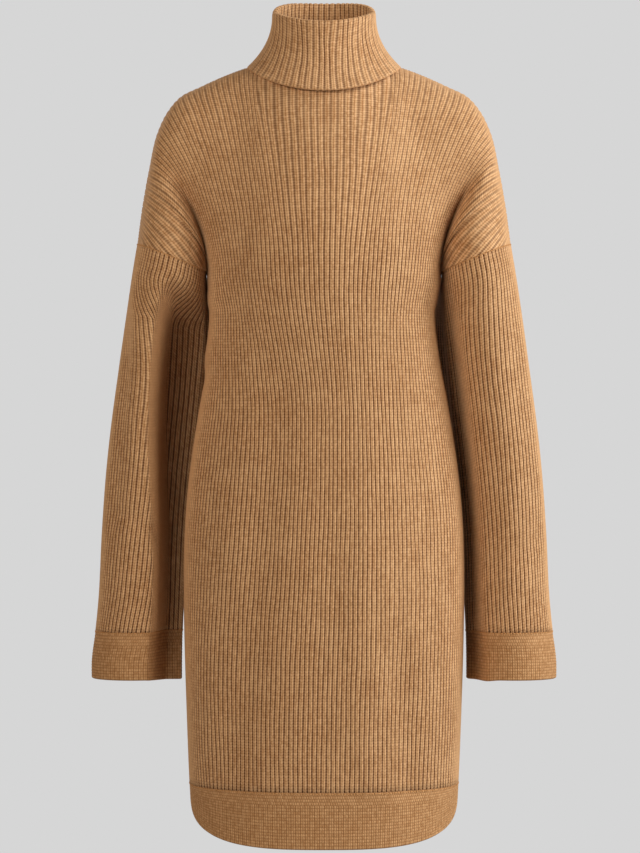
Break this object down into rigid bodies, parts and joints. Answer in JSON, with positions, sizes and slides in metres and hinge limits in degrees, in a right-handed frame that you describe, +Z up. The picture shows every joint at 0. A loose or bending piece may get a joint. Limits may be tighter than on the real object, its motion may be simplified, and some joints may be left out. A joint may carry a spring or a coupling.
{
  "type": "sweater dress",
  "caption": "Hollow rib-knit sweater dress in its worn form, with a folded polo collar, dropped shoulders, straight sleeves with flat cuffs and a rounded hem band.",
  "frame": {"origin": "middle of the neck base, level with the neck end of the shoulders, where the wearer's shoulders carry the dress", "axes": "+Z up the body, the front of the dress faces -Y, +X is the right-hand side seen from the front"},
  "size_m": [0.5212, 0.23, 0.9415],
  "materials": {
    "rib_knit": "soft brushed wool rib knit with a light nap",
    "band_knit": "fine textured wool knit, flatter than the rib, with a light nap"
  },
  "bodies": {
    "root": {"front_panel": "rib_knit", "back_panel": "rib_knit", "sleeve_right": "rib_knit", "sleeve_left": "rib_knit", "collar": "rib_knit", "cuff_right": "band_knit", "cuff_left": "band_knit", "hem_band_front": "band_knit", "hem_band_back": "band_knit"}
  },
  "joints": []
}
